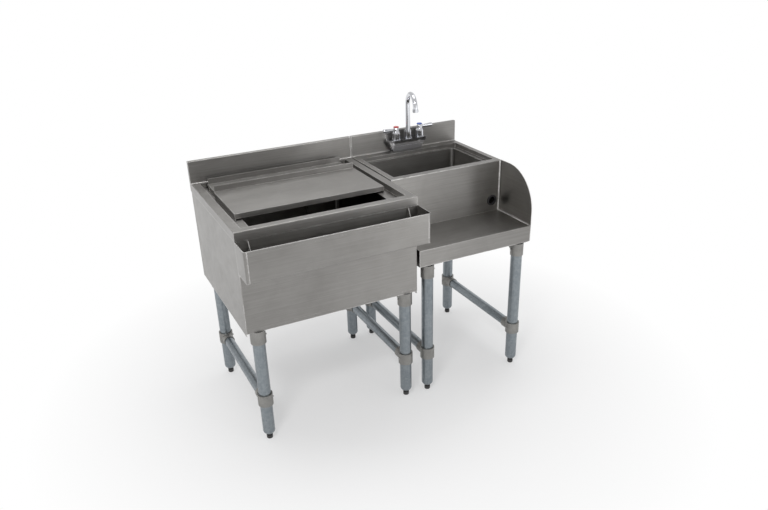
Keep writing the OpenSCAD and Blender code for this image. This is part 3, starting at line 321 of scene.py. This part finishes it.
def smooth_step(tree, value, low, high):
    node = tree.nodes.new("ShaderNodeMapRange")
    node.interpolation_type = "SMOOTHSTEP"
    node.inputs["From Min"].default_value = low
    node.inputs["From Max"].default_value = high
    link(tree, value, node.inputs["Value"])
    return node.outputs[0]


def toward(tree, vector, side):
    """How far a point or direction lies towards a side of the studio."""
    node = tree.nodes.new("ShaderNodeVectorMath")
    node.operation = "DOT_PRODUCT"
    link(tree, vector, node.inputs[0])
    node.inputs[1].default_value = side
    return node.outputs["Value"]


def seen_ray(tree):
    """1 for the rays that show the background: from the camera, off metal and through glass."""
    rays = tree.nodes.new("ShaderNodeLightPath")
    return math_node(tree, "MAXIMUM", rays.outputs["Is Camera Ray"],
                     math_node(tree, "MAXIMUM", rays.outputs["Is Glossy Ray"],
                               rays.outputs["Is Transmission Ray"]))


def make_floor():
    """A wide pale floor that keeps the shadow and runs out to plain white."""
    bpy.ops.mesh.primitive_plane_add(size=FLOOR_SIZE, location=(0, 0, 0))
    floor = bpy.context.object
    floor.name = "floor"
    mat = bpy.data.materials.new("floor_white")
    mat.use_nodes = True
    tree = mat.node_tree
    tree.nodes.clear()
    out = tree.nodes.new("ShaderNodeOutputMaterial")
    where = object_coords(tree)
    diffuse = tree.nodes.new("ShaderNodeBsdfDiffuse")
    diffuse.inputs["Color"].default_value = (*FLOOR_WHITE, 1.0)
    glow = tree.nodes.new("ShaderNodeEmission")
    glow.inputs["Color"].default_value = (1.0, 1.0, 1.0, 1.0)
    length = tree.nodes.new("ShaderNodeVectorMath")
    length.operation = "LENGTH"
    link(tree, where, length.inputs[0])
    fade = spread(tree, length.outputs["Value"], GLOW_NEAR, GLOW_FAR, GLOW_LEAST, 1.0)
    lit = math_node(tree, "MULTIPLY", fade, seen_ray(tree))
    mix = tree.nodes.new("ShaderNodeMixShader")
    link(tree, lit, mix.inputs[0])
    link(tree, diffuse.outputs[0], mix.inputs[1])
    link(tree, glow.outputs[0], mix.inputs[2])
    link(tree, mix.outputs[0], out.inputs["Surface"])
    floor.data.materials.append(mat)


def make_world():
    """A pale studio, whitest behind the part and to its right."""
    world = bpy.data.worlds.new("studio")
    bpy.context.scene.world = world
    world.use_nodes = True
    tree = world.node_tree
    tree.nodes.clear()
    out = tree.nodes.new("ShaderNodeOutputWorld")
    soft = tree.nodes.new("ShaderNodeBackground")
    soft.inputs["Color"].default_value = (*SOFT_LIGHT, 1.0)
    soft.inputs["Strength"].default_value = SOFT_STRENGTH
    room = tree.nodes.new("ShaderNodeBackground")
    direction = tree.nodes.new("ShaderNodeTexCoord").outputs["Generated"]
    bright = smooth_step(tree, toward(tree, direction, BRIGHT_SIDE), ROOM_BRIGHT_FROM, 1.0)
    link(tree, mix_colour(tree, bright, ROOM_DIM, ROOM_WHITE), room.inputs["Color"])
    mix = tree.nodes.new("ShaderNodeMixShader")
    link(tree, seen_ray(tree), mix.inputs[0])
    link(tree, soft.outputs[0], mix.inputs[1])
    link(tree, room.outputs[0], mix.inputs[2])
    link(tree, mix.outputs[0], out.inputs["Surface"])


def area_light(name, at, target, size, power):
    lamp = bpy.data.lights.new(name, "AREA")
    lamp.shape = "RECTANGLE"
    lamp.size, lamp.size_y = size
    lamp.energy = power
    obj = bpy.data.objects.new(name, lamp)
    obj.location = at
    obj.rotation_euler = (Vector(target) - Vector(at)).to_track_quat("-Z", "Y").to_euler()
    bpy.context.scene.collection.objects.link(obj)


def make_camera():
    """The photograph's viewpoint, from its azimuth, elevation and roll."""
    az = math.radians(CAMERA_AZIMUTH)
    el = math.radians(CAMERA_ELEVATION)
    roll = math.radians(CAMERA_ROLL)
    back = Vector((math.sin(az) * math.cos(el), -math.cos(az) * math.cos(el), math.sin(el)))
    right = Vector((0, 0, 1)).cross(back).normalized()
    up = back.cross(right)
    x_axis = right * math.cos(roll) + up * math.sin(roll)
    y_axis = up * math.cos(roll) - right * math.sin(roll)
    data = bpy.data.cameras.new("camera")
    data.sensor_width = 36.0
    data.lens = CAMERA_LENS
    data.shift_x, data.shift_y = CAMERA_SHIFT
    camera = bpy.data.objects.new("camera", data)
    turn = Matrix((x_axis, y_axis, back)).transposed().to_4x4()
    camera.matrix_world = Matrix.Translation(CAMERA_AT) @ turn
    bpy.context.scene.collection.objects.link(camera)
    bpy.context.scene.camera = camera


make_floor()
make_world()
for lamp_settings in LAMPS:
    area_light(*lamp_settings)
make_camera()
bpy.context.scene.view_settings.view_transform = "Standard"
